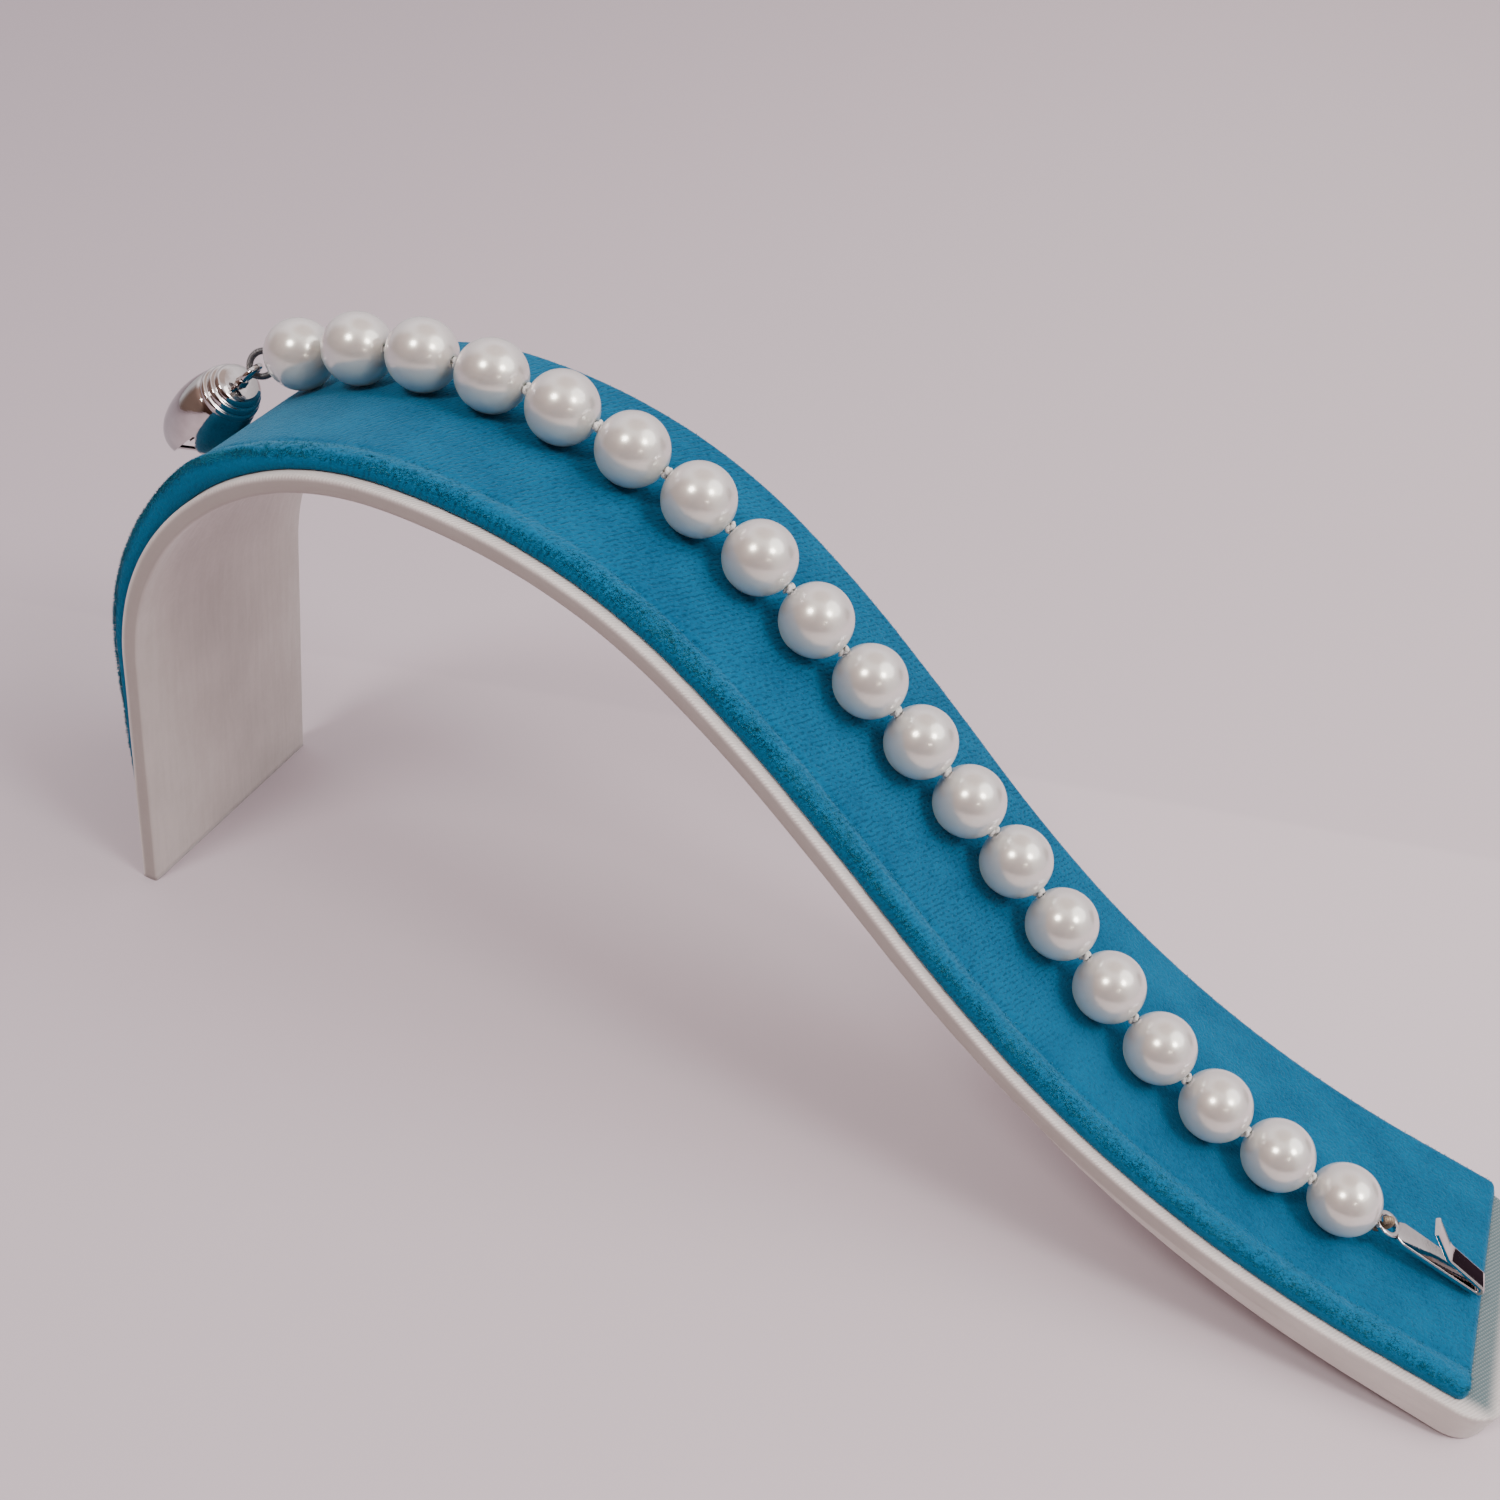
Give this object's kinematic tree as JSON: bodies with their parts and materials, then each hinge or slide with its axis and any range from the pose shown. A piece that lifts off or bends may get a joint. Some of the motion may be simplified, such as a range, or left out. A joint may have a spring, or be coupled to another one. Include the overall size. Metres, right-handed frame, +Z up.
{
  "type": "pearl bracelet on display ramp",
  "caption": "Knotted pearl bracelet with a fish-hook clasp, lying open along a curved display ramp that is padded with velvet.",
  "frame": {"origin": "middle of the bounding box's bottom face, on the surface that the ramp stands on", "axes": "+X from the ramp's upright leg to its low toe, along the bracelet; +Y across the ramp, away from the side the picture shows nearest; +Z up"},
  "size_m": [0.1766, 0.0326, 0.079],
  "materials": {
    "white_satin": "ribbed white satin over a stiff board",
    "teal_velvet": "short teal velvet pile",
    "pearl": "lustrous white pearl with a faint pink body colour",
    "white_silk": "twisted white silk thread",
    "polished_white_metal": "mirror polished white metal",
    "coiled_wire": "fine coiled wire sleeve"
  },
  "bodies": {
    "root": {"clasp_shell": "polished_white_metal", "clasp_tongue": "polished_white_metal", "pearl_01": "pearl", "pearl_02": "pearl", "pearl_03": "pearl", "pearl_04": "pearl", "pearl_05": "pearl", "pearl_06": "pearl", "pearl_07": "pearl", "pearl_08": "pearl", "pearl_09": "pearl", "pearl_10": "pearl", "pearl_11": "pearl", "pearl_12": "pearl", "pearl_13": "pearl", "pearl_14": "pearl", "pearl_15": "pearl", "pearl_16": "pearl", "pearl_17": "pearl", "pearl_18": "pearl", "pearl_19": "pearl", "ramp_board": "white_satin", "silk_thread": "white_silk", "velvet_pad": "teal_velvet", "wire_guard_shell": "coiled_wire", "wire_guard_tongue": "coiled_wire"}
  },
  "joints": []
}
